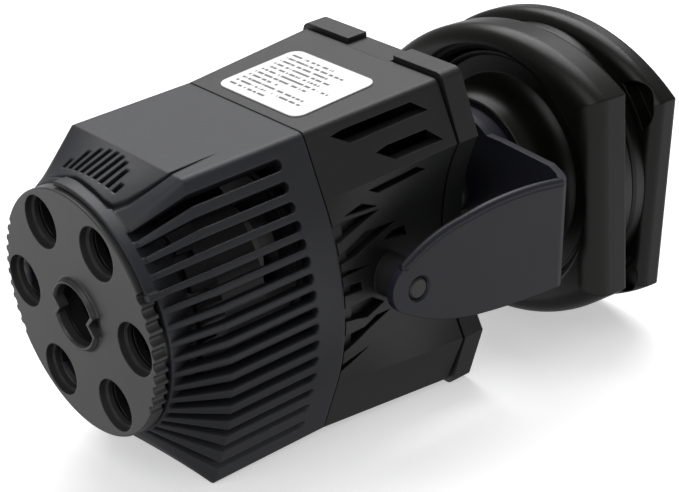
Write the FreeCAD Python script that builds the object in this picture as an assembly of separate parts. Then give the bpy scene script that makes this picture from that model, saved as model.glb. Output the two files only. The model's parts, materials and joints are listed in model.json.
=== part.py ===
import FreeCAD, Part
import math
import os
from collections import namedtuple

# Wave maker pump: a faceted pump body with a flow disc at its nose, held by two side pivots in a
# U-shaped yoke, which swivels on a magnet base. A second magnet grips it through the tank's glass.
#
# Three frames, all in millimetres with X to the right, Y from nose to back and Z up:
#   pump frame   origin on the flow axis at the front face of the flow disc
#   yoke frame   origin on the pivot axis, Y along the swivel axis
#   row frame    the floor at z = 0, the origin under the middle of the whole pump


def vec(x, y, z):
    return FreeCAD.Vector(x, y, z)


# ---------------------------------------------------------------- driving dimensions
# body shell (pump frame); heights in a Section are measured from the body's middle
Section = namedtuple("Section", "corner_x corner_z crease_x crease_z mid_x corner_r")
SEAM_SECTION = Section(17.5, 31.8, 22.6, 19.7, 26.7, 1.6)
REAR_SECTION = Section(19.7, 33.2, 24.8, 21.4, 19.4, 1.6)
BAND_SECTION = Section(20.3, 34.2, 24.9, 21.4, 19.4, 2.0)
body_mid_z = -3.9
nose_y = 3.2
nose_r = 24.5
kink_y = 14.0
seam_y = 40.9
seam_gap = 0.3
rear_y = 71.8
cover_t = 5.4
tongue_half_w = 6.4
cage_wall = 2.0
shell_wall = 2.2

# flow disc and the fixed plate behind it
disc_r = 24.2
disc_t = 2.6
outlet_count = 6
outlet_pitch_r = 18.0
outlet_r = 5.2
outlet_step_r = 4.6
aperture_r = 6.0
collar_r = 7.1
collar_rise = 1.2
spigot_bore_r = 9.0
guide_back_y = 4.6

# duct round the propeller
duct_in_r = 20.0
duct_out_r = 21.4
duct_y1 = 27.0
spider_y = 7.8

# radial slots in the cage sides
slot_count = 16
slot_first_deg = 52.2
slot_step_deg = 7.3
slot_w = 2.0
slot_back_y = 34.5
skirt_r = 21.9

# shaft and rotor
shaft_r = 2.0
running_gap = 0.06
can_inner_r = 10.2
can_wall = 0.8
can_y0 = 38.6

# inlet for the mains lead
gland_r = 4.4
gland_bore_r = 2.6
gland_x = 8.0
gland_z = -1.0

# yoke (yoke frame: u runs back from the pivots)
pivot_y = 54.1
pin_r = 2.2
boss_r = 4.4
boss_end_x = 30.2
arm_outer_x = 32.4
arm_t = 1.8
plate_back_u = 40.4
plate_t = 1.8
plate_mid_r = 17.2
bead_r = 0.95
tip_u = -6.5
hub_r = 16.2
hub_back_u = 44.3
yoke_droop_deg = 4.4
bolt_r = 2.5
bolt_gap = 0.08

# magnet bases (yoke frame)
base_flat_x = 30.4
base_top = 31.4
base_arc_r = 50.0
base_front_u = 49.4
base_back_u = 59.3
pad_r = 29.3
pad_t = 3.4
pad_gap = 0.2
outer_back_u = 72.4
inner_spin_deg = 5.0
outer_spin_deg = -1.4
magnet_r = 26.0
pocket_r = magnet_r + 0.2
pocket_u = 56.0

dish_r = 26.4
dish_floor_u = 54.4
neck_front_u = 44.2

pad_face_u = base_back_u + pad_t
outer_pad_u = pad_face_u + pad_gap
outer_front_u = outer_pad_u + pad_t - 0.3


# ---------------------------------------------------------------- small builders
def box(x0, x1, y0, y1, z0, z1):
    return Part.makeBox(x1 - x0, y1 - y0, z1 - z0, vec(x0, y0, z0))


def cyl_y(radius, y0, y1, x=0.0, z=0.0):
    return Part.makeCylinder(radius, y1 - y0, vec(x, y0, z), vec(0, 1, 0))


def cyl_x(radius, x0, x1, y=0.0, z=0.0):
    return Part.makeCylinder(radius, x1 - x0, vec(x0, y, z), vec(1, 0, 0))


def ring_y(outer, inner, y0, y1):
    return cyl_y(outer, y0, y1).cut(cyl_y(inner, y0 - 1.0, y1 + 1.0))


def outline(steps, to_vec):
    """Closed wire through the steps. A step is an end point, or (through, end) for an arc."""
    edges = []
    here = to_vec(*steps[0])
    for step in steps[1:] + steps[:1]:
        if isinstance(step[0], tuple):
            through, end = to_vec(*step[0]), to_vec(*step[1])
            edges.append(Part.Arc(here, through, end).toShape())
        else:
            end = to_vec(*step)
            edges.append(Part.LineSegment(here, end).toShape())
        here = end
    return Part.Wire(edges)


def turned(steps):
    """Solid of revolution about the Y axis from (radius, y) steps."""
    face = Part.Face(outline(steps, lambda r, y: vec(r, y, 0)))
    return face.revolve(vec(0, 0, 0), vec(0, 1, 0), 360)


def rounded_block(half_w, y0, y1, front_r, back_r, half_h):
    """Upright block whose plan has rounded front and back corners; a zero radius stays sharp."""
    corners = [(half_w, y0, 1, 1, front_r), (half_w, y1, 1, -1, back_r),
               (-half_w, y1, -1, -1, back_r), (-half_w, y0, -1, 1, front_r)]
    edges = []
    arcs = []
    for number, (x, y, sx, sy, r) in enumerate(corners):
        along_x = vec(x - sx * r, y, -half_h)
        along_y = vec(x, y + sy * r, -half_h)
        start, end = (along_x, along_y) if number % 2 == 0 else (along_y, along_x)
        knee = r * (1 - math.sqrt(0.5))
        arcs.append((start, vec(x - sx * knee, y + sy * knee, -half_h), end))
    for number, (start, middle, end) in enumerate(arcs):
        if start.distanceToPoint(end) > 1e-6:
            edges.append(Part.Arc(start, middle, end).toShape())
        edges.append(Part.LineSegment(end, arcs[(number + 1) % 4][0]).toShape())
    return Part.Face(Part.Wire(edges)).extrude(vec(0, 0, 2 * half_h))


def fuse(shapes):
    first = shapes[0]
    if len(shapes) > 1:
        first = first.multiFuse(shapes[1:])
    return first.removeSplitter()


def mirrored(shape):
    return shape.mirror(vec(0, 0, 0), vec(1, 0, 0))


def both_sides(shape):
    return [shape, mirrored(shape)]


def turn_y(shape, degrees):
    turned_copy = shape.copy()
    turned_copy.rotate(vec(0, 0, 0), vec(0, 1, 0), degrees)
    return turned_copy


def polar(radius, degrees):
    """x and z at an angle measured from +X towards +Z."""
    a = math.radians(degrees)
    return radius * math.cos(a), radius * math.sin(a)


# ---------------------------------------------------------------- body sections
def inset(section, t):
    """The same section with its walls moved inwards by t (outwards when t is negative)."""
    return Section(section.corner_x - 0.66 * t, section.corner_z - t,
                   section.crease_x - 0.93 * t, section.crease_z - 0.36 * t,
                   section.mid_x - t, max(section.corner_r - t, 0.3))


def section_points(section, y):
    """The closed outline as (start, middle, end) triples; straight edges have no middle."""
    cx, cz, bx, bz, mx, r = section
    lean = math.atan2(bx - cx, cz - bz)
    setback = r * math.tan((math.pi / 2 - lean) / 2)
    top_end = (cx - setback, cz)
    side_start = (cx + setback * math.sin(lean), cz - setback * math.cos(lean))
    centre = (cx - setback, cz - r)
    half_turn = (math.pi / 2 - lean) / 2
    corner_mid = (centre[0] + r * math.sin(half_turn), centre[1] + r * math.cos(half_turn))
    quarter = [(top_end, corner_mid, side_start), (side_start, None, (bx, bz))]
    side = [((bx, bz), (mx, 0.0), (bx, -bz))]

    def flip(points, sx, sz):
        return [tuple(None if p is None else (sx * p[0], sz * p[1]) for p in e) for e in points]

    def reverse(points):
        return [(e, m, s) for s, m, e in reversed(points)]

    right = quarter + side + reverse(flip(quarter, 1, -1))
    left = reverse(flip(right, -1, 1))
    bottom = [(right[-1][2], None, left[0][0])]
    top = [(left[-1][2], None, right[0][0])]
    whole = right + bottom + left + top
    return [tuple(None if p is None else vec(p[0], y, p[1] + body_mid_z) for p in e)
            for e in whole]


def section_wire(section, y):
    edges = []
    for start, middle, end in section_points(section, y):
        if middle is None:
            edges.append(Part.LineSegment(start, end).toShape())
        else:
            edges.append(Part.Arc(start, middle, end).toShape())
    return Part.Wire(edges)


def nose_wire(section, radius, y):
    """A circle about the flow axis, divided where the section's corners point."""
    edges = []
    for start, middle, end in section_points(section, y):
        a0 = math.atan2(start.z, start.x)
        a1 = math.atan2(end.z, end.x)
        if a1 > a0:
            a1 -= 2 * math.pi
        points = [vec(radius * math.cos(a), y, radius * math.sin(a)) for a in (a0, (a0 + a1) / 2, a1)]
        edges.append(Part.Arc(*points).toShape())
    return Part.Wire(edges)


def loft(wires):
    return Part.makeLoft(wires, True, True)


def prism(section, y0, y1):
    return Part.Face(section_wire(section, y0)).extrude(vec(0, y1 - y0, 0))


def cage_solid(t):
    """The front body's outer form, moved in by t."""
    section = inset(SEAM_SECTION, t)
    cone = loft([nose_wire(section, nose_r - t, nose_y), section_wire(section, kink_y)])
    return fuse([cone, prism(section, kink_y, seam_y - seam_gap)])


def rear_solid(t, y0, y1):
    """The motor housing's form between two stations, moved in by t."""
    over = 2.0
    ends = []
    for y in (seam_y - over, rear_y + over):
        f = (y - seam_y) / (rear_y - seam_y)
        mix = [a + (b - a) * f for a, b in zip(inset(SEAM_SECTION, t), inset(REAR_SECTION, t))]
        ends.append(section_wire(Section(*mix), y))
    return loft(ends).common(box(-50, 50, y0, y1, -60, 60))


# ---------------------------------------------------------------- cage
def radial_slot(degrees):
    """A cutter in a plane through the flow axis: shallow at the collar, with a round back end."""
    reach = 48.0
    inner = 17.0
    round_y = slot_back_y - slot_w / 2
    steps = [(reach, nose_y), (nose_r + 0.1, nose_y), (skirt_r + 0.2, 10.0), (inner, 11.0),
             (inner, round_y), (reach, round_y)]
    side = Part.Face(outline(steps, lambda r, y: vec(r, y, -slot_w / 2)))
    cutter = fuse([side.extrude(vec(0, 0, slot_w)), cyl_x(slot_w / 2, inner, reach, y=round_y)])
    return turn_y(cutter, -degrees)


def side_slots():
    cutters = []
    for k in range(slot_count):
        cutters += both_sides(radial_slot(slot_first_deg - k * slot_step_deg))
    return cutters


def panel_groove():
    """A shallow groove round the top panel: along the collar, a sharp turn, then back."""
    depth = 1.1
    steps = [(-10.2, 4.0), (-3.0, 4.0), (3.0, 3.4), (9.4, 3.2), (11.6, 6.4), (14.3, 13.8), (12.9, 25.0),
             (13.4, 13.9), (10.4, 7.0), (8.7, 4.6), (6.6, 4.3), (3.0, 4.6), (-3.0, 5.1)]
    column = Part.Face(outline(steps, lambda x, y: vec(x, y, 0))).extrude(vec(0, 0, 50))
    return column.cut(cage_solid(depth))


def arched_vent():
    """Nine slots along the body: an even front, and back ends on a low arch."""
    count = 9
    pitch = 2.0
    width = 1.1
    centre_x = -1.0
    front_y = 6.2
    foot_y = 5.2
    arch_half_w = 8.7
    arch_rise = 7.9
    cutters = []
    for k in range(count):
        x = (k - (count - 1) / 2) * pitch
        back_y = foot_y + arch_rise * math.sqrt(1 - (x / arch_half_w) ** 2)
        cutters.append(box(centre_x + x - width / 2, centre_x + x + width / 2,
                           front_y, back_y, 18.0, 32.0))
    return cutters


def rim_lip():
    """The collar's raised edge beside the disc's upper right, ending in a small tab."""
    start_deg = 27.0
    end_deg = 100.0
    lip = ring_y(nose_r + 0.8, nose_r - 0.1, 1.0, nose_y + 0.6)
    corners = [(0.0, 0.0), polar(60.0, start_deg), polar(120.0, (start_deg + end_deg) / 2),
               polar(60.0, end_deg)]
    wedge = Part.Face(outline(corners, lambda x, z: vec(x, 0, z))).extrude(vec(0, 10, 0))
    tab = turn_y(box(nose_r - 0.1, nose_r + 1.8, 0.8, nose_y + 1.0, -0.7, 0.7), -start_deg)
    return [lip.common(wedge), tab]


def intake_cage():
    outer = fuse([cage_solid(0.0)] + rim_lip())
    cutters = [cage_solid(cage_wall), cyl_y(nose_r - cage_wall, 0, 8)]
    cutters += side_slots() + arched_vent()
    cutters += [panel_groove(), cyl_y(disc_r + 0.3, 0, nose_y)]
    skirt = turned([(skirt_r, nose_y), (nose_r - 0.2, nose_y), (skirt_r + 0.6, 10.0), (skirt_r, 10.0)])
    return fuse([outer.cut(cutters), skirt])


# ---------------------------------------------------------------- flow disc and outlet guide
def outlet_places():
    return [polar(outlet_pitch_r, 360.0 / outlet_count * k) for k in range(outlet_count)]


def rim_notches():
    """Finger serrations: ten small notches on each side of the disc."""
    teeth = 10
    step_deg = 6.2
    notch_r = 1.0
    cutters = []
    for side_deg in (0.0, 180.0):
        for k in range(teeth):
            x, z = polar(disc_r + 0.15, side_deg + (k - (teeth - 1) / 2) * step_deg)
            cutters.append(cyl_y(notch_r, -1, disc_t + 1, x, z))
    return cutters


def both_keys(points, y0, y1):
    """A plan outline beside the aperture, extruded, on the right and turned half round."""
    key = Part.Face(outline(points, lambda x, z: vec(x, y0, z))).extrude(vec(0, y1 - y0, 0))
    return [key, turn_y(key, 180.0)]


def flow_disc():
    """Disc with six outlets and a thin collar, whose wall bends inwards at two pointed keys."""
    edge = 0.2
    top = -collar_rise
    plate = turned([(0, 0), (disc_r - edge, 0), (disc_r, edge), (disc_r, disc_t), (0, disc_t)])
    collar = turned([(0, 1), (collar_r + 0.4, 1), (collar_r + 0.4, 0),
                     ((collar_r + 0.1, -0.15), (collar_r, -0.5)), (collar_r - 0.3, top + 0.3),
                     ((collar_r - 0.6, top), (collar_r - 0.9, top + 0.2)),
                     (aperture_r, top + 0.5), (0, top + 0.5)])
    pocket = [(6.9, 1.9), (5.15, 0.0), (6.9, -1.9), (7.4, -2.1), (7.4, 2.1)]
    cutters = rim_notches() + [cyl_y(aperture_r, -5, 5), cyl_y(spigot_bore_r, 0.9, disc_t + 1)]
    cutters += both_keys(pocket, top - 1.0, 0.4)
    for x, z in outlet_places():
        cutters.append(cyl_y(outlet_r, -1, 1.5, x, z))
        cutters.append(cyl_y(outlet_step_r, -1, disc_t + 1, x, z))
    wall = [(6.3, 2.4), (4.3, 0.0), (6.3, -2.4), (6.9, -1.9), (5.15, 0.0), (6.9, 1.9)]
    return fuse([fuse([plate, collar]).cut(cutters)] + both_keys(wall, top, 0.9))


def outlet_guide():
    """Fixed plate with six matching holes and a vane between each pair of holes."""
    front = guide_back_y - 1.6
    back = guide_back_y
    plate = cyl_y(skirt_r - 0.1, front, back)
    spigot = cyl_y(spigot_bore_r - running_gap, 1.2, back)
    holes = [cyl_y(outlet_step_r + 0.1, front - 5, back + 5, x, z) for x, z in outlet_places()]
    body = fuse([plate, spigot]).cut(holes + [cyl_y(aperture_r + 0.2, 0, back + 1)])
    vanes = []
    for k in range(outlet_count):
        vane = box(aperture_r + 1.5, duct_in_r, back - 0.2, back + 3.0, -0.6, 0.6)
        vanes.append(turn_y(vane, 30.0 + 60.0 * k))
    vanes = fuse(vanes).common(cyl_y(duct_in_r, front, back + 4))
    return fuse([body, vanes])


# ---------------------------------------------------------------- propeller duct and bearings
def propeller_duct():
    """Tube round the propeller with a castellated ring near its front end."""
    tube = ring_y(duct_out_r, duct_in_r, guide_back_y, duct_y1)
    crown = ring_y(duct_out_r + 1.6, duct_out_r - 0.2, 11.0, 16.5)
    gaps = []
    for k in range(20):
        gap = box(duct_out_r, duct_out_r + 4, 10.0, 14.2, -1.1, 1.1)
        gaps.append(turn_y(gap, 18.0 * k))
    return fuse([tube, crown.cut(gaps)])


def front_spider():
    """Three spokes that carry the front bush in the middle of the duct."""
    hub = ring_y(5.2, 3.6, spider_y, 11.0)
    spoke = box(4.8, duct_in_r, spider_y, spider_y + 1.6, -0.9, 0.9)
    spokes = [turn_y(spoke, 90.0 + 120.0 * k) for k in range(3)]
    return fuse([hub] + spokes).common(cyl_y(duct_in_r, 0, 20))


def front_bush():
    return ring_y(3.6, shaft_r, spider_y, 11.0)


def shaft():
    return cyl_y(shaft_r, 8.2, 66.6)


def rear_bush():
    return ring_y(4.4, shaft_r, 63.6, 67.4)


def thrust_washer(y0, y1):
    return ring_y(3.9, shaft_r + running_gap, y0, y1)


# ---------------------------------------------------------------- rotor
def rotor_sleeve():
    sleeve = ring_y(3.6, shaft_r + running_gap, 12.4, 62.6)
    flange = ring_y(9.0, 3.4, 34.0, 36.0)
    dogs = [turn_y(box(4.8, 8.4, 32.0, 34.2, -1.6, 1.6), 180.0 * k) for k in range(2)]
    return fuse([sleeve, flange] + dogs)


def rotor_magnet():
    return ring_y(9.6, 3.6, 44.0, 62.0)


def drive_coupling():
    """Rubber ring between the rotor's dogs and the propeller."""
    ring = ring_y(8.8, 3.6, 30.4, 34.0)
    return ring.cut([turn_y(box(4.7, 8.5, 31.9, 35.0, -1.7, 1.7), 180.0 * k) for k in range(2)])


def propeller():
    """Hub with three pitched blades, each a ruled sheet between two twisted ends, thickened."""
    hub = ring_y(6.6, 3.6, 13.6, 30.4)
    blades = []
    tip_r = 18.9
    for k in range(3):
        stations = []
        for radius, half_chord, pitch_deg in ((5.6, 5.2, 52.0), (12.0, 6.8, 36.0), (tip_r, 7.4, 26.0)):
            a = math.radians(pitch_deg)
            along = (half_chord * math.cos(a), half_chord * math.sin(a))
            across = (-0.6 * math.sin(a), 0.6 * math.cos(a))
            mid_y = 21.5
            ring = []
            for s, t in ((-1, 0), (-0.7, 1), (0.7, 1), (1, 0), (0.7, -1), (-0.7, -1)):
                z = s * along[0] + t * across[0]
                y = mid_y + s * along[1] + t * across[1]
                ring.append(vec(radius, y, z))
            stations.append(Part.makePolygon(ring + ring[:1]))
        blade = loft(stations)
        blades.append(turn_y(blade, 120.0 * k))
    bladed = fuse([hub] + [b.common(ring_y(tip_r, 4.0, 12, 32)) for b in blades])
    return bladed


def propeller_cap():
    return turned([(3.9, 11.9), (5.4, 12.3), (6.4, 13.6), (3.6, 13.6), (3.6, 12.4), (3.9, 12.4)])


# ---------------------------------------------------------------- motor
def motor_can():
    """Thin closed tube with a front flange; its back end seats the rear bush."""
    outer_r = can_inner_r + can_wall
    tube = cyl_y(outer_r, can_y0, 68.4)
    flange = cyl_y(15.4, can_y0, 40.2)
    return fuse([tube, flange]).cut([cyl_y(can_inner_r, can_y0 - 1, 63.6), cyl_y(4.4, 60, 67.4)])


def can_seal():
    return turned([(12.6, 40.2), (14.2, 40.2), (14.2, 41.4), (12.6, 41.4)])


leg_x0 = 9.0
leg_x1 = 16.0
core_y0 = 47.0
core_y1 = 59.0
window_top = -13.0
window_bottom = -24.0


def stator_core():
    """U-shaped lamination stack: two wound legs below, two pole faces round the can."""
    block = box(-leg_x1, leg_x1, core_y0, core_y1, window_bottom - 6.0, 13.6)
    window = box(-leg_x0, leg_x0, core_y0 - 1, core_y1 + 1, window_bottom, window_top)
    bore = cyl_y(can_inner_r + can_wall + 0.1, core_y0 - 1, core_y1 + 1)
    pole_gap = box(-1.2, 1.2, core_y0 - 1, core_y1 + 1, window_top - 0.1, 15.0)
    return block.cut([window, bore, pole_gap])


def coil_box(grow, z_margin):
    return box(leg_x0 - grow, leg_x1 + grow, core_y0 - grow, core_y1 + grow,
               window_bottom + z_margin, window_top - z_margin)


def coil_bobbins():
    leg = box(leg_x0, leg_x1, core_y0, core_y1, -40, 0)
    sleeve = coil_box(0.8, 0.1)
    flanges = [box(leg_x0 - 2.9, leg_x1 + 2.6, core_y0 - 2.9, core_y1 + 2.9, z, z + 0.8)
               for z in (window_bottom + 0.1, window_top - 0.9)]
    return Part.makeCompound(both_sides(fuse([sleeve] + flanges).cut(leg)))


def stator_coils():
    coil = coil_box(2.5, 0.95).cut(coil_box(0.8, -1.0))
    return Part.makeCompound(both_sides(coil))


def thermal_cutout():
    return box(-3.2, 3.2, 49.0, 57.0, -21.0, -17.6)


def potting_block():
    """Resin round the stator, up to the level of the pole faces."""
    room = rear_solid(shell_wall, seam_y + 2.6, 68.0)
    block = box(-18.2, 18.2, seam_y + 2.6, 66.0, -40, 14.6).common(room)
    inner = [cyl_y(can_inner_r + can_wall, 30, 80), stator_core(), thermal_cutout()]
    inner += coil_bobbins().Solids + stator_coils().Solids
    return block.cut(inner)


# ---------------------------------------------------------------- motor housing
def chamfer_slots():
    """Two long pointed slots on each upper chamfer and a narrow one under the crease."""
    outlines = [
        [(46.0, 29.7), (48.8, 30.2), (64.6, 30.9), (67.9, 28.6), (49.8, 27.5)],
        [(54.2, 24.6), (56.8, 25.2), (66.0, 25.6), (69.2, 22.9), (58.0, 22.3)],
        [(50.6, 18.7), (62.2, 19.6), (64.8, 18.1), (52.7, 17.5)],
    ]
    cutters = []
    for points in outlines:
        face = Part.Face(outline(points, lambda y, w: vec(14.0, y, body_mid_z + w)))
        cutters += both_sides(face.extrude(vec(16, 0, 0)))
    return cutters


def pivot_grooves():
    """Tapered grooves from the seam towards the pivot boss, as (y, height above the middle)."""
    start = seam_y - 0.1
    outlines = [
        [(start, 14.9), (43.9, 15.1), (52.8, 14.2), (41.7, 11.8), (start, 11.8)],
        [(44.0, 15.9), (48.5, 16.8), (52.3, 15.0)],
        [(start, 7.8), (start, 9.4), (44.8, 10.3), (48.3, 11.3), (57.6, 10.0), (50.7, 8.6), (45.4, 7.7)],
        [(start, 5.3), (start, 6.5), (49.6, 4.1)],
        [(start, 1.5), (start, 3.4), (46.1, 2.2), (46.2, 0.3)],
        [(start, -4.0), (start, -1.2), (48.8, -2.5), (52.6, -5.3), (47.4, -6.2), (44.1, -5.0)],
        [(start, -11.0), (start, -7.2), (46.5, -8.0), (50.1, -7.1), (54.3, -7.8), (48.0, -9.0),
         (43.8, -10.3)],
        [(start, -15.8), (start, -14.0), (48.1, -13.0)],
        [(53.0, 7.5), (55.7, 8.4), (59.6, 7.9), (60.5, 5.4)],
    ]
    cutters = []
    for points in outlines:
        face = Part.Face(outline(points, lambda y, w: vec(18.0, y, body_mid_z + w)))
        cutters += both_sides(face.extrude(vec(12, 0, 0)))
    return cutters


def groove_backing():
    """Wall behind the grooves, so that they are blind."""
    backing = rear_solid(2.0, seam_y, 64.0).cut(rear_solid(3.4, seam_y - 1, 65.0))
    return backing.common(box(-40, 40, seam_y, 62.0, body_mid_z - 17.5, body_mid_z + 18.2))


def pivot_boss():
    foot_x = 20.0
    return Part.makeCone(boss_r, boss_r - 0.3, boss_end_x - foot_x, vec(foot_x, pivot_y, body_mid_z),
                         vec(1, 0, 0))


def rear_shell():
    wall = rear_solid(0.0, seam_y, rear_y).cut(rear_solid(shell_wall, seam_y - 0.5, rear_y + 0.5))
    cut_wall = wall.cut(chamfer_slots() + pivot_grooves())
    bulkhead = rear_solid(1.0, seam_y + 0.2, seam_y + 2.6)
    spigot_section = inset(SEAM_SECTION, cage_wall + 0.15)
    spigot = prism(spigot_section, 37.4, seam_y + 0.4).cut(
        prism(inset(spigot_section, 1.5), 36.0, seam_y + 1.0))
    seat = ring_y(17.0, 15.5, 38.8, seam_y + 0.4)
    tongues = between_bands(tongue_half_w, 0.0, shell_wall)
    body = fuse([cut_wall, tongues, groove_backing(), bulkhead, spigot, seat] + both_sides(pivot_boss()))
    pin_holes = both_sides(cyl_x(pin_r, 23.0, 32.0, pivot_y, body_mid_z))
    return body.cut([cyl_y(can_inner_r + can_wall, 30, 80), ring_y(14.2, 12.6, 40.0, 41.4)] + pin_holes)


def between_bands(half_w, out, depth):
    """Strips at the top and bottom of the cover, from out above the housing's level to depth below."""
    rim = prism(inset(REAR_SECTION, -out), rear_y - 0.5, rear_y + cover_t)
    rim = rim.cut(prism(inset(REAR_SECTION, depth), rear_y - 1.0, rear_y + cover_t + 1.0))
    return rim.common(box(-half_w, half_w, rear_y - 1.0, rear_y + cover_t + 1.0, -60.0, 60.0))


def rear_cover():
    """End cover with a raised band round each side, set off from the housing by a narrow gap."""
    plate = prism(inset(REAR_SECTION, 0.9), rear_y + 0.15, rear_y + 3.8)
    band = prism(BAND_SECTION, rear_y + 0.6, rear_y + cover_t)
    band = band.cut(prism(inset(REAR_SECTION, 2.6), rear_y, rear_y + cover_t + 1.0))
    lip = prism(inset(REAR_SECTION, shell_wall + 0.5), 68.6, rear_y + 0.4).cut(
        prism(inset(REAR_SECTION, shell_wall + 2.0), 67.0, 73.0))
    gland_hole = cyl_y(gland_r, 70.0, 80.0, gland_x, gland_z)
    tongue_room = between_bands(tongue_half_w + 0.3, 2.0, shell_wall + 0.3)
    return fuse([plate, band, lip]).cut([gland_hole, tongue_room])


def cable_gland():
    """Moulded inlet for the mains lead."""
    body = turned([(0, 70.6), (gland_r + 1.0, 70.6), (gland_r + 1.0, rear_y + 0.15),
                   (gland_r, rear_y + 0.15), (gland_r, 80.0), (gland_r - 0.8, 84.0), (0, 84.0)])
    return body.cut(cyl_y(gland_bore_r, 69, 90)).translated(vec(gland_x, 0, gland_z))


def rating_label():
    """Thin plate on the sloping top of the motor housing."""
    slope = math.atan2(REAR_SECTION.corner_z - SEAM_SECTION.corner_z, rear_y - seam_y)
    length = 20.2
    half_w = 12.2
    start_y = 43.5
    start_z = body_mid_z + SEAM_SECTION.corner_z + (start_y - seam_y) * math.tan(slope)
    plate = box(-half_w, half_w, 0, length, 0, 0.25)
    upright = [e for e in plate.Edges if abs(e.tangentAt(e.FirstParameter).z) > 0.9]
    plate = plate.makeFillet(2.5, upright)
    plate.rotate(vec(0, 0, 0), vec(1, 0, 0), math.degrees(slope))
    return plate.translated(vec(0, start_y, start_z))


def pivot_pins():
    bevel = 0.4
    bevel_x = arm_outer_x - 0.1 - bevel
    stem = cyl_x(pin_r, 23.0, bevel_x, pivot_y, body_mid_z)
    end = Part.makeCone(pin_r, pin_r - bevel, bevel, vec(bevel_x, pivot_y, body_mid_z), vec(1, 0, 0))
    return Part.makeCompound(both_sides(fuse([stem, end])))


def friction_washers():
    washer = cyl_x(boss_r - 0.3, boss_end_x, arm_outer_x - arm_t - 0.1, pivot_y, body_mid_z)
    return Part.makeCompound(both_sides(washer.cut(cyl_x(pin_r, 20, 40, pivot_y, body_mid_z))))


# ---------------------------------------------------------------- yoke (yoke frame)
arm_top_start = (-3.2, 5.4)
arm_top_rise = (3.4, 8.8)
arm_top_bend = (11.1, 10.7)
arm_top_flat = (25.0, 12.1)
arm_top_back = (plate_back_u, 10.8)


def arm_top_arcs(drop):
    """The arm's upper edge, lowered by drop: a steeper arc from the tip, then a flat one."""
    points = [arm_top_start, arm_top_rise, arm_top_bend, arm_top_flat, arm_top_back]
    first, through, bend, flat, last = [vec(0, u, w - drop) for u, w in points]
    return [Part.Arc(first, through, bend), Part.Arc(bend, flat, last)]


def leaf(x0, x1):
    """Side outline of the arms, extruded between two X positions."""
    low_start = (-3.9, -3.9)
    low_bend = (17.2, -10.5)
    low_back = (plate_back_u, -11.3)
    steps = [low_back, ((29.4, -11.3), low_bend), ((5.2, -8.0), low_start),
             ((tip_u, 0.7), arm_top_start), (arm_top_rise, arm_top_bend), (arm_top_flat, arm_top_back)]
    face = Part.Face(outline(steps, lambda u, w: vec(x0, u, w)))
    return face.extrude(vec(x1 - x0, 0, 0))


def u_band():
    """The bracket's strip seen from above, with round bends at the back corners."""
    tip = tip_u - 1.0
    outside = rounded_block(arm_outer_x, tip, plate_back_u, 0.0, 2.8, 30.0)
    inside = rounded_block(arm_outer_x - arm_t, tip, plate_back_u - plate_t, 0.0, 1.2, 30.0)
    return outside.cut(inside)


def plate_outline():
    """Back plate seen from behind: low at the arms, with a round middle over the hub."""
    half = [(13.5, 14.1), (27.5, 13.1), (arm_outer_x, 10.9)]
    corners = half + [(x, -z) for x, z in reversed(half)]
    corners += [(-x, -z) for x, z in half] + [(-x, z) for x, z in reversed(half)]
    y0 = plate_back_u - plate_t - 0.4
    side = Part.Face(outline(corners, lambda x, z: vec(x, y0, z))).extrude(vec(0, plate_t + 0.4, 0))
    return fuse([side, cyl_y(plate_mid_r, y0, plate_back_u)])


def arm_bead():
    """Rounded bead along the arm's upper edge, a little proud of its outer face."""
    centre_x = arm_outer_x - 0.7
    arcs = [arc.toShape() for arc in arm_top_arcs(0.1)]
    start = arcs[0].Vertexes[0].Point
    ahead = arcs[0].tangentAt(arcs[0].FirstParameter)
    circle = Part.Wire([Part.makeCircle(bead_r, start, ahead)])
    rod = Part.Wire(arcs).makePipeShell([circle], True, True)
    bead = fuse([rod, Part.makeSphere(bead_r, start)]).translated(vec(centre_x, 0, 0))
    return bead.common(box(20, 40, -6.0, plate_back_u - 2.6, 0, 30))


def yoke_bracket():
    band = u_band().common(fuse([leaf(-40, 40), plate_outline()]))
    hub = cyl_y(hub_r, plate_back_u - 0.2, hub_back_u)
    hole_r = pin_r + 0.08
    sink = Part.makeCone(hole_r, hole_r + 0.5, 0.5, vec(arm_outer_x - 0.45, 0, 0), vec(1, 0, 0))
    holes = [cyl_x(hole_r, -40, 40), cyl_y(bolt_r, 30, 60)] + both_sides(sink)
    return fuse([band, hub] + both_sides(arm_bead())).cut(holes)


def swivel_bolt():
    """Domed head in front of the back plate, stem through the hub."""
    front = plate_back_u - plate_t
    head = turned([(0, front - 3.4), (2.6, front - 3.4), ((4.8, front - 2.4), (5.6, front - 0.8)),
                   (5.6, front), (0, front)])
    return fuse([head, cyl_y(bolt_r, front - 0.5, 53.6)])


def hexagon(across_flats, y0, y1):
    corner_r = across_flats / 2 / math.cos(math.pi / 6)
    corners = [polar(corner_r, 60 * k) for k in range(6)]
    return Part.Face(outline(corners, lambda x, z: vec(x, y0, z))).extrude(vec(0, y1 - y0, 0))


def swivel_washer():
    return ring_y(6.4, bolt_r, 48.9, 49.9)


def swivel_nut():
    return hexagon(8.0, 49.9, 53.4).cut(cyl_y(bolt_r, 40, 60))


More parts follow.
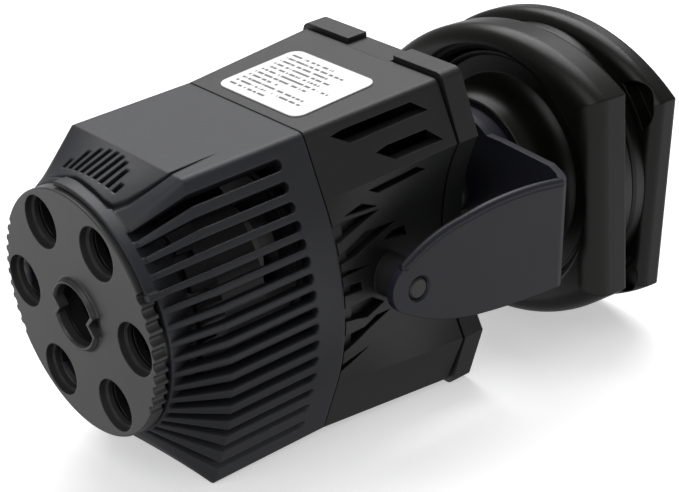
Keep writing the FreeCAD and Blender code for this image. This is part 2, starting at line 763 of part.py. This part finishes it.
# ---------------------------------------------------------------- magnet bases (yoke frame)
def barrel(u0, u1, front_round, back_round, side_round):
    """Plate with round top and bottom and two flat sides; its round edges are radiused."""
    wide = base_flat_x + 4.0
    edge_z = base_top - base_arc_r + math.sqrt(base_arc_r ** 2 - wide ** 2)
    edges = [
        Part.Arc(vec(-wide, u0, edge_z), vec(0, u0, base_top), vec(wide, u0, edge_z)),
        Part.LineSegment(vec(wide, u0, edge_z), vec(wide, u0, -edge_z)),
        Part.Arc(vec(wide, u0, -edge_z), vec(0, u0, -base_top), vec(-wide, u0, -edge_z)),
        Part.LineSegment(vec(-wide, u0, -edge_z), vec(-wide, u0, edge_z)),
    ]
    plate = Part.Face(Part.Wire([e.toShape() for e in edges])).extrude(vec(0, u1 - u0, 0))
    for u, radius in ((u0, front_round), (u1, back_round)):
        arcs = [e for e in plate.Edges
                if e.Curve.TypeId == "Part::GeomCircle" and abs(e.CenterOfMass.y - u) < 0.01
                and e.Curve.Radius > base_arc_r - 1]
        plate = plate.makeFillet(radius, arcs)
    return plate.common(rounded_block(base_flat_x, u0, u1, side_round, back_round, 60.0))


def dish():
    """Hollow in the front of a base: rounded at its rim and again at its floor."""
    mouth_r = dish_r + 2.2
    return turned([(0, 40.0), (mouth_r, 40.0), (mouth_r, base_front_u - 0.1),
                   ((dish_r + 0.7, base_front_u + 0.9), (dish_r, base_front_u + 3.2)),
                   (dish_r - 0.1, dish_floor_u - 0.6),
                   ((dish_r - 0.3, dish_floor_u - 0.2), (dish_r - 0.8, dish_floor_u)),
                   (0, dish_floor_u)])


def domed_neck():
    """Rubber neck round the yoke's hub, rounded over at its mouth and flared at its foot."""
    bore = hub_r + 0.35
    foot = dish_floor_u + 0.2
    return turned([(bore, foot), (bore, neck_front_u + 0.6),
                   ((bore + 0.6, neck_front_u), (bore + 1.3, neck_front_u + 0.6)),
                   ((bore + 2.1, 47.0), (bore + 2.4, 50.0)), ((bore + 2.8, 52.6), (bore + 4.6, foot))])


def circular_rim():
    major = dish_r - 1.0
    front = dish_floor_u - 1.4
    foot = dish_floor_u + 0.2
    return turned([(major - 0.8, foot), (major - 0.7, front + 0.7),
                   ((major, front), (major + 0.7, front + 0.7)), (major + 0.8, foot)])


def inner_boot():
    """Rubber-covered base: dished front, circular rim, domed neck, pocket for the magnet."""
    body = barrel(base_front_u, base_back_u, 4.4, 0.7, 4.6).cut(dish())
    body = fuse([body, domed_neck(), circular_rim()])
    body = body.cut([cyl_y(pocket_r, pocket_u, 70), cyl_y(hub_r + 0.35, 40, pocket_u + 1)])
    return turn_y(body, -inner_spin_deg)


def swivel_socket():
    """Hard hub inside the neck that turns on the bolt."""
    body = cyl_y(hub_r + 0.35, hub_back_u + 0.3, pocket_u)
    room = cyl_y(7.2, 48.6, pocket_u - 1.2)
    return body.cut([room, cyl_y(bolt_r + bolt_gap, 40, 50)])


def back_iron(u0):
    return cyl_y(magnet_r, u0, u0 + 1.4)


def magnet(u0, length):
    edge = 0.4
    return turned([(0, u0), (magnet_r - edge, u0), (magnet_r, u0 + edge),
                   (magnet_r, u0 + length - edge), (magnet_r - edge, u0 + length), (0, u0 + length)])


def inner_pad():
    """Round rubber pad that meets the glass, moulded over the magnet's face."""
    body = turned([(0, base_back_u), (pad_r, base_back_u), (pad_r, pad_face_u - 0.6),
                   (pad_r - 0.6, pad_face_u), (0, pad_face_u)])
    return body.cut(cyl_y(pocket_r, base_back_u - 1, base_back_u + 1.5))


def outer_pad():
    body = turned([(0, outer_pad_u), (pad_r - 0.6, outer_pad_u), (pad_r, outer_pad_u + 0.6),
                   (pad_r, outer_front_u), (0, outer_front_u)])
    return body.cut(cyl_y(pocket_r, outer_front_u - 1.2, outer_front_u + 1))


def corner_pockets():
    """Lens-shaped finger pockets between the round pad and the corners of the outer housing."""
    depth = 3.4
    pockets = []
    for degrees in (38.0, 142.0, 218.0, 322.0):
        x, z = polar(30.4, degrees)
        pockets.append(cyl_y(5.2, outer_front_u - 1.0, outer_front_u + depth, x, z))
    return fuse(pockets).cut(cyl_y(pad_r + 1.5, outer_front_u - 2.0, outer_front_u + 10.0))


def outer_housing():
    body = barrel(outer_front_u, outer_back_u, 3.0, 1.2, 2.6)
    body = body.cut([cyl_y(pocket_r, outer_front_u - 1, outer_front_u + 4.6), corner_pockets()])
    return turn_y(body, -outer_spin_deg)


# ---------------------------------------------------------------- placing and writing
def housing_nodes():
    return {
        "intake_cage": intake_cage(),
        "outlet_guide": outlet_guide(),
        "propeller_duct": propeller_duct(),
        "front_spider": front_spider(),
        "front_bush": front_bush(),
        "shaft": shaft(),
        "rear_bush": rear_bush(),
        "front_thrust_washer": thrust_washer(11.05, 11.75),
        "rear_thrust_washer": thrust_washer(62.8, 63.5),
        "motor_can": motor_can(),
        "can_seal": can_seal(),
        "stator_core": stator_core(),
        "coil_bobbins": coil_bobbins(),
        "stator_coils": stator_coils(),
        "thermal_cutout": thermal_cutout(),
        "potting_block": potting_block(),
        "rear_shell": rear_shell(),
        "rear_cover": rear_cover(),
        "cable_gland": cable_gland(),
        "rating_label": rating_label(),
        "pivot_pins": pivot_pins(),
        "friction_washers": friction_washers(),
        "flow_disc": flow_disc(),
        "rotor_sleeve": rotor_sleeve(),
        "rotor_magnet": rotor_magnet(),
        "drive_coupling": drive_coupling(),
        "propeller": propeller(),
        "propeller_cap": propeller_cap(),
    }


def yoke_nodes():
    iron_u = pocket_u
    magnet_u = iron_u + 1.4
    return {
        "yoke_bracket": yoke_bracket(),
        "swivel_bolt": swivel_bolt(),
        "swivel_washer": swivel_washer(),
        "swivel_nut": swivel_nut(),
        "swivel_socket": swivel_socket(),
        "inner_boot": inner_boot(),
        "inner_back_iron": back_iron(iron_u),
        "inner_magnet": magnet(magnet_u, base_back_u + 1.4 - magnet_u),
        "inner_pad": inner_pad(),
        "outer_pad": outer_pad(),
        "outer_magnet": magnet(outer_front_u - 1.1, 4.2),
        "outer_back_iron": back_iron(outer_front_u + 3.1),
        "outer_housing": outer_housing(),
    }


def yoke_to_pump(shape):
    """Put a yoke part on the pivots, drooping at the back."""
    placed = shape.translated(vec(0, pivot_y, body_mid_z))
    placed.rotate(vec(0, pivot_y, body_mid_z), vec(1, 0, 0), -yoke_droop_deg)
    return placed


def resting_lean():
    """Nose-down angle at which the pump rests on its front lower edge and its outer magnet."""
    droop = math.radians(yoke_droop_deg)
    back_y = pivot_y + outer_back_u * math.cos(droop) - base_top * math.sin(droop)
    back_z = body_mid_z - outer_back_u * math.sin(droop) - base_top * math.cos(droop)
    front_z = body_mid_z - SEAM_SECTION.corner_z
    return math.degrees(math.atan2(front_z - back_z, back_y - kink_y))


def main():
    os.makedirs("parts", exist_ok=True)
    nodes = housing_nodes()
    for name, shape in yoke_nodes().items():
        nodes[name] = yoke_to_pump(shape)
    for shape in nodes.values():
        shape.rotate(vec(0, 0, 0), vec(1, 0, 0), resting_lean())
    whole = FreeCAD.BoundBox()
    for shape in nodes.values():
        whole.add(shape.optimalBoundingBox(True, False))
    shift = vec(-whole.Center.x, -whole.Center.y, -whole.ZMin)
    for name, shape in nodes.items():
        shape.translate(shift)
        shape.exportStep("parts/" + name + ".step")
        state = "valid" if shape.isValid() else "NOT VALID"
        print(f"{name:22s} solids {len(shape.Solids)}  volume {shape.Volume:10.1f}  {state}")
    print("nodes", len(nodes))
    print("lean %.3f deg, shift (%.3f, %.3f, %.3f)" % (resting_lean(), shift.x, shift.y, shift.z))
    print("size %.2f x %.2f x %.2f" % (whole.XLength, whole.YLength, whole.ZLength))


main()
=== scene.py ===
import json
import math

import bpy
from mathutils import Matrix, Vector

# Visual model of the wave maker pump: the CAD parts with procedural finishes, a printed label, a
# pale floor, soft studio light, and the camera. Lengths are in metres in the row frame.

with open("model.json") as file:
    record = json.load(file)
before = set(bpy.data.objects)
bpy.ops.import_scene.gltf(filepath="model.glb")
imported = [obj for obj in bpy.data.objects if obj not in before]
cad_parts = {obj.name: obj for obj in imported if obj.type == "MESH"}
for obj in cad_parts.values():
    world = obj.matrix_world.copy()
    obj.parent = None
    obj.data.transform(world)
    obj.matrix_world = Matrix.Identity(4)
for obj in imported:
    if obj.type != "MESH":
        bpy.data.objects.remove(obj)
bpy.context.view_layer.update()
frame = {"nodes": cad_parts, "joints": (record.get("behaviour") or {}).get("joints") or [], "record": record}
nodes = frame["nodes"]
joints = {joint["name"]: joint for joint in frame["joints"]}


# ---------------------------------------------------------------- materials
GRAIN_STRENGTH = 0.35
EDGE_SAMPLES = 6
CLOUD_SCALE = 60.0
CLOUD_DETAIL = 3.0
CLOUD_LOW = 0.3
CLOUD_HIGH = 0.7
SMOOTHER = 0.05
ROUGHER = 0.07


def principled(name, color, roughness, metallic=0.0, specular=0.5):
    material = bpy.data.materials.new(name)
    material.use_nodes = True
    shader = material.node_tree.nodes["Principled BSDF"]
    shader.inputs["Base Color"].default_value = (*color, 1.0)
    shader.inputs["Roughness"].default_value = roughness
    shader.inputs["Metallic"].default_value = metallic
    shader.inputs["Specular IOR Level"].default_value = specular
    return material, shader


def add_noise(material, scale, detail=4.0):
    tree = material.node_tree
    position = tree.nodes.new("ShaderNodeTexCoord")
    noise = tree.nodes.new("ShaderNodeTexNoise")
    noise.inputs["Scale"].default_value = scale
    noise.inputs["Detail"].default_value = detail
    tree.links.new(position.outputs["Object"], noise.inputs["Vector"])
    return noise


def textured(name, color, roughness, grain_scale, grain_depth, spread=0.15, edge=0.0003, **more):
    """A moulded surface: slightly rounded edges, fine grain, slow changes of tone and roughness."""
    material, shader = principled(name, color, roughness, **more)
    tree = material.node_tree
    grain = add_noise(material, grain_scale)
    rounding = tree.nodes.new("ShaderNodeBevel")
    rounding.samples = EDGE_SAMPLES
    rounding.inputs["Radius"].default_value = edge
    bump = tree.nodes.new("ShaderNodeBump")
    bump.inputs["Strength"].default_value = GRAIN_STRENGTH
    bump.inputs["Distance"].default_value = grain_depth
    tree.links.new(rounding.outputs["Normal"], bump.inputs["Normal"])
    tree.links.new(grain.outputs["Fac"], bump.inputs["Height"])
    tree.links.new(bump.outputs["Normal"], shader.inputs["Normal"])
    cloud = add_noise(material, CLOUD_SCALE, CLOUD_DETAIL)
    ramp = tree.nodes.new("ShaderNodeValToRGB")
    low = [c * (1 - spread) for c in color]
    high = [c * (1 + spread) for c in color]
    ramp.color_ramp.elements[0].position = CLOUD_LOW
    ramp.color_ramp.elements[0].color = (*low, 1.0)
    ramp.color_ramp.elements[1].position = CLOUD_HIGH
    ramp.color_ramp.elements[1].color = (*high, 1.0)
    tree.links.new(cloud.outputs["Fac"], ramp.inputs["Fac"])
    tree.links.new(ramp.outputs["Color"], shader.inputs["Base Color"])
    rough = tree.nodes.new("ShaderNodeMapRange")
    rough.inputs["To Min"].default_value = roughness - SMOOTHER
    rough.inputs["To Max"].default_value = roughness + ROUGHER
    tree.links.new(grain.outputs["Fac"], rough.inputs["Value"])
    tree.links.new(rough.outputs["Result"], shader.inputs["Roughness"])
    return material


# the label's print, as fractions of a row or of the label, and the density of its dashes
ROW_BAND = (0.30, 0.68)
PRINT_ACROSS = (0.07, 0.93)
PRINT_ALONG = (0.10, 0.92)
ROW_END_MIN = 0.42
ROW_END_SPREAD = 0.5
DASH_DENSITY = 30.0
ROW_SPACING = 7.3
DASH_THRESHOLD = 0.46
# sockets of the Mix node in its colour form
MIX_FIRST = 6
MIX_SECOND = 7
MIX_RESULT = 2


def printed(name, paper, ink, rows):
    """A white label with rows of plain dashes of uneven length, which spell nothing."""
    material = textured(name, paper, 0.42, 1500.0, 0.00001, spread=0.02)
    tree = material.node_tree
    shader = tree.nodes["Principled BSDF"]

    def calc(operation, first, second=0.0):
        node = tree.nodes.new("ShaderNodeMath")
        node.operation = operation
        for socket, value in zip(node.inputs, (first, second)):
            if isinstance(value, float):
                socket.default_value = value
            else:
                tree.links.new(value, socket)
        return node.outputs[0]

    def between(value, low, high):
        return calc("MULTIPLY", calc("GREATER_THAN", value, low), calc("LESS_THAN", value, high))

    place = tree.nodes.new("ShaderNodeTexCoord")
    split = tree.nodes.new("ShaderNodeSeparateXYZ")
    tree.links.new(place.outputs["Generated"], split.inputs["Vector"])
    across, along = split.outputs["X"], split.outputs["Y"]
    scaled = calc("MULTIPLY", along, float(rows))
    row = calc("FLOOR", scaled)
    in_row = between(calc("FRACT", scaled), *ROW_BAND)
    join = tree.nodes.new("ShaderNodeCombineXYZ")
    tree.links.new(calc("MULTIPLY", across, DASH_DENSITY), join.inputs["X"])
    tree.links.new(calc("MULTIPLY", row, ROW_SPACING), join.inputs["Y"])
    words = tree.nodes.new("ShaderNodeTexNoise")
    words.inputs["Scale"].default_value = 1.0
    words.inputs["Detail"].default_value = 1.0
    tree.links.new(join.outputs["Vector"], words.inputs["Vector"])
    dashes = calc("GREATER_THAN", words.outputs["Fac"], DASH_THRESHOLD)
    random = tree.nodes.new("ShaderNodeTexWhiteNoise")
    random.noise_dimensions = "1D"
    tree.links.new(row, random.inputs["W"])
    row_end = calc("ADD", calc("MULTIPLY", random.outputs["Value"], ROW_END_SPREAD), ROW_END_MIN)
    inside = calc("MULTIPLY", between(across, *PRINT_ACROSS), between(along, *PRINT_ALONG))
    short = calc("LESS_THAN", across, row_end)
    mask = calc("MULTIPLY", calc("MULTIPLY", in_row, dashes), calc("MULTIPLY", inside, short))
    mix = tree.nodes.new("ShaderNodeMix")
    mix.data_type = "RGBA"
    paper_color = shader.inputs["Base Color"].links[0].from_socket
    tree.links.new(mask, mix.inputs["Factor"])
    tree.links.new(paper_color, mix.inputs[MIX_FIRST])
    mix.inputs[MIX_SECOND].default_value = (*ink, 1.0)
    tree.links.new(mix.outputs[MIX_RESULT], shader.inputs["Base Color"])
    return material


# colour, roughness, grain scale, grain depth, and what differs from the defaults
FINISHES = {
    "cage_plastic": textured("cage_plastic", (0.0165, 0.0174, 0.0228), 0.50, 2600.0, 0.00006,
                             edge=0.0007, specular=0.47),
    "disc_plastic": textured("disc_plastic", (0.0410, 0.0430, 0.0402), 0.38, 2600.0, 0.00004),
    "duct_plastic": textured("duct_plastic", (0.012, 0.012, 0.013), 0.40, 2000.0, 0.00003),
    "housing_plastic": textured("housing_plastic", (0.0110, 0.0122, 0.0112), 0.50, 2600.0, 0.00006,
                                specular=0.44),
    "yoke_plastic": textured("yoke_plastic", (0.0112, 0.0119, 0.0205), 0.46, 2600.0, 0.00005,
                             specular=0.42),
    "pin_plastic": textured("pin_plastic", (0.0230, 0.0260, 0.0220), 0.45, 2000.0, 0.00003),
    "boot_rubber": textured("boot_rubber", (0.0065, 0.0063, 0.0055), 0.33, 1800.0, 0.00004, edge=0.0005,
                            specular=0.38),
    "base_rubber": textured("base_rubber", (0.0055, 0.0053, 0.0045), 0.33, 1800.0, 0.00004, edge=0.0005,
                            specular=0.26),
    "seal_rubber": textured("seal_rubber", (0.010, 0.010, 0.011), 0.60, 1800.0, 0.00003),
    "ceramic": textured("ceramic", (0.70, 0.68, 0.62), 0.20, 900.0, 0.00001, 0.04),
    "rotor_plastic": textured("rotor_plastic", (0.40, 0.40, 0.38), 0.40, 1500.0, 0.00002),
    "propeller_plastic": textured("propeller_plastic", (0.016, 0.017, 0.018), 0.35, 1500.0, 0.00002),
    "ferrite": textured("ferrite", (0.050, 0.048, 0.046), 0.45, 1800.0, 0.00003, metallic=0.3),
    "lamination_steel": textured("lamination_steel", (0.35, 0.35, 0.36), 0.38, 1800.0, 0.00002,
                                 metallic=0.9),
    "plated_steel": textured("plated_steel", (0.50, 0.51, 0.52), 0.30, 1500.0, 0.00001, metallic=1.0),
    "stainless": textured("stainless", (0.55, 0.55, 0.54), 0.25, 1500.0, 0.00001, 0.05, metallic=1.0),
    "black_steel": textured("black_steel", (0.020, 0.020, 0.021), 0.45, 1500.0, 0.00001, metallic=0.2),
    "bobbin_plastic": textured("bobbin_plastic", (0.50, 0.48, 0.42), 0.45, 1500.0, 0.00002),
    "copper_wire": textured("copper_wire", (0.45, 0.17, 0.07), 0.35, 1200.0, 0.00003, metallic=0.9),
    "resin": textured("resin", (0.012, 0.012, 0.014), 0.30, 900.0, 0.00003),
    "label_foil": printed("label_foil", (0.92, 0.92, 0.91), (0.07, 0.07, 0.08), 13),
}

# painted shade: three nodes get a darker finish than the rest of their slot, standing in for the shade on
# the outlet guide inside the outlet holes and on the two rubber bases
SHADE_PAINTED_FINISHES = {"outlet_guide": "duct_plastic", "inner_boot": "base_rubber", "outer_housing": "base_rubber"}

for part in frame["record"]["subparts"]:
    # the darker finish these three nodes take instead of their slot's is painted shade
    finish_name = SHADE_PAINTED_FINISHES.get(part["node"], part["material_slot"])
    for material_slot in nodes[part["node"]].material_slots:
        material_slot.material = FINISHES[finish_name]


# ---------------------------------------------------------------- floor, light and camera
FLOW_AXIS = Vector(joints["rotor_spin"]["axis"]).normalized()
LEAN = math.atan2(FLOW_AXIS.z, FLOW_AXIS.y)
DISC_CENTRE = Vector(joints["flow_disc_turn"]["pos_m"])


def from_pump(x, y, z):
    """Row-frame point for millimetres in the pump's own frame: origin at the flow disc's face."""
    offset = Matrix.Rotation(LEAN, 3, "X") @ Vector((x, y, z))
    return DISC_CENTRE + offset / 1000.0


REACH = 6.0
FLOOR_GLOW = 0.48
floor_mesh = bpy.data.meshes.new("floor")
floor_mesh.from_pydata([(-REACH, -REACH, 0), (REACH, -REACH, 0), (REACH, REACH, 0), (-REACH, REACH, 0)],
                       [], [(0, 1, 2, 3)])
floor = bpy.data.objects.new("floor", floor_mesh)
bpy.context.scene.collection.objects.link(floor)
floor_material, floor_shader = principled("floor_white", (0.90, 0.90, 0.90), 0.85, specular=0.2)
floor_shader.inputs["Emission Color"].default_value = (1.0, 1.0, 1.0, 1.0)
floor_shader.inputs["Emission Strength"].default_value = FLOOR_GLOW
floor.data.materials.append(floor_material)
# the floor throws no light up: the lower half of the studio does that, more evenly
floor.visible_diffuse = False
floor.visible_glossy = False

# brightness of the surroundings by height: straight down, below the horizon, above it
STUDIO_TONES = ((-1.0, 0.30), (-0.62, 0.30), (-0.45, 1.10), (-0.12, 1.10), (0.10, 0.24), (1.0, 0.24))


def studio_world():
    """Pale surroundings: a bright band where the floor lies around the pump, darker right under it."""
    world = bpy.data.worlds.new("studio")
    world.use_nodes = True
    tree = world.node_tree
    place = tree.nodes.new("ShaderNodeTexCoord")
    split = tree.nodes.new("ShaderNodeSeparateXYZ")
    height = tree.nodes.new("ShaderNodeMapRange")
    height.inputs["From Min"].default_value = -1.0
    tones = tree.nodes.new("ShaderNodeValToRGB")
    stops = tones.color_ramp.elements
    while len(stops) < len(STUDIO_TONES):
        stops.new(1.0)
    for stop, (z, tone) in zip(stops, STUDIO_TONES):
        stop.position = (z + 1.0) / 2.0
        stop.color = (tone, tone, tone, 1.0)
    tree.links.new(place.outputs["Generated"], split.inputs["Vector"])
    tree.links.new(split.outputs["Z"], height.inputs["Value"])
    tree.links.new(height.outputs["Result"], tones.inputs["Fac"])
    tree.links.new(tones.outputs["Color"], tree.nodes["Background"].inputs["Color"])
    return world


bpy.context.scene.world = studio_world()


def distant_light(name, towards, strength, spread_deg):
    """A large soft lamp far away in the direction given."""
    data = bpy.data.lights.new(name, "SUN")
    data.energy = strength
    data.angle = math.radians(spread_deg)
    lamp = bpy.data.objects.new(name, data)
    bpy.context.scene.collection.objects.link(lamp)
    lamp.rotation_mode = "QUATERNION"
    lamp.rotation_quaternion = Vector(towards).to_track_quat("Z", "Y")


distant_light("overhead", (-0.45, 0.35, 0.80), 2.55, 50.0)
distant_light("front", (0.20, -0.60, 0.75), 0.7, 40.0)

# the camera's directions before the pump's lean, its place in millimetres in the pump's own frame
CAMERA_PLACE = (270.107, -154.079, 171.168)
LENS_MM = 102.61
CAMERA_RIGHT = Vector((0.6240, 0.7814, 0.0))
CAMERA_BACK = Vector((0.6925, -0.5531, 0.4633))
CAMERA_UP = CAMERA_BACK.cross(CAMERA_RIGHT)
ROLL = math.radians(-3.557)
camera_data = bpy.data.cameras.new("camera")
camera_data.sensor_width = 36.0
camera_data.lens = LENS_MM
camera_data.clip_start = 0.01
camera_data.clip_end = 50.0
camera = bpy.data.objects.new("camera", camera_data)
bpy.context.scene.collection.objects.link(camera)
turn = Matrix.Rotation(LEAN, 3, "X")
axis_x = turn @ (math.cos(ROLL) * CAMERA_RIGHT + math.sin(ROLL) * CAMERA_UP)
axis_y = turn @ (-math.sin(ROLL) * CAMERA_RIGHT + math.cos(ROLL) * CAMERA_UP)
axis_z = turn @ CAMERA_BACK
pose = Matrix((axis_x, axis_y, axis_z)).transposed().to_4x4()
pose.translation = from_pump(*CAMERA_PLACE)
camera.matrix_world = pose
bpy.context.scene.camera = camera
bpy.context.scene.view_settings.view_transform = "Standard"
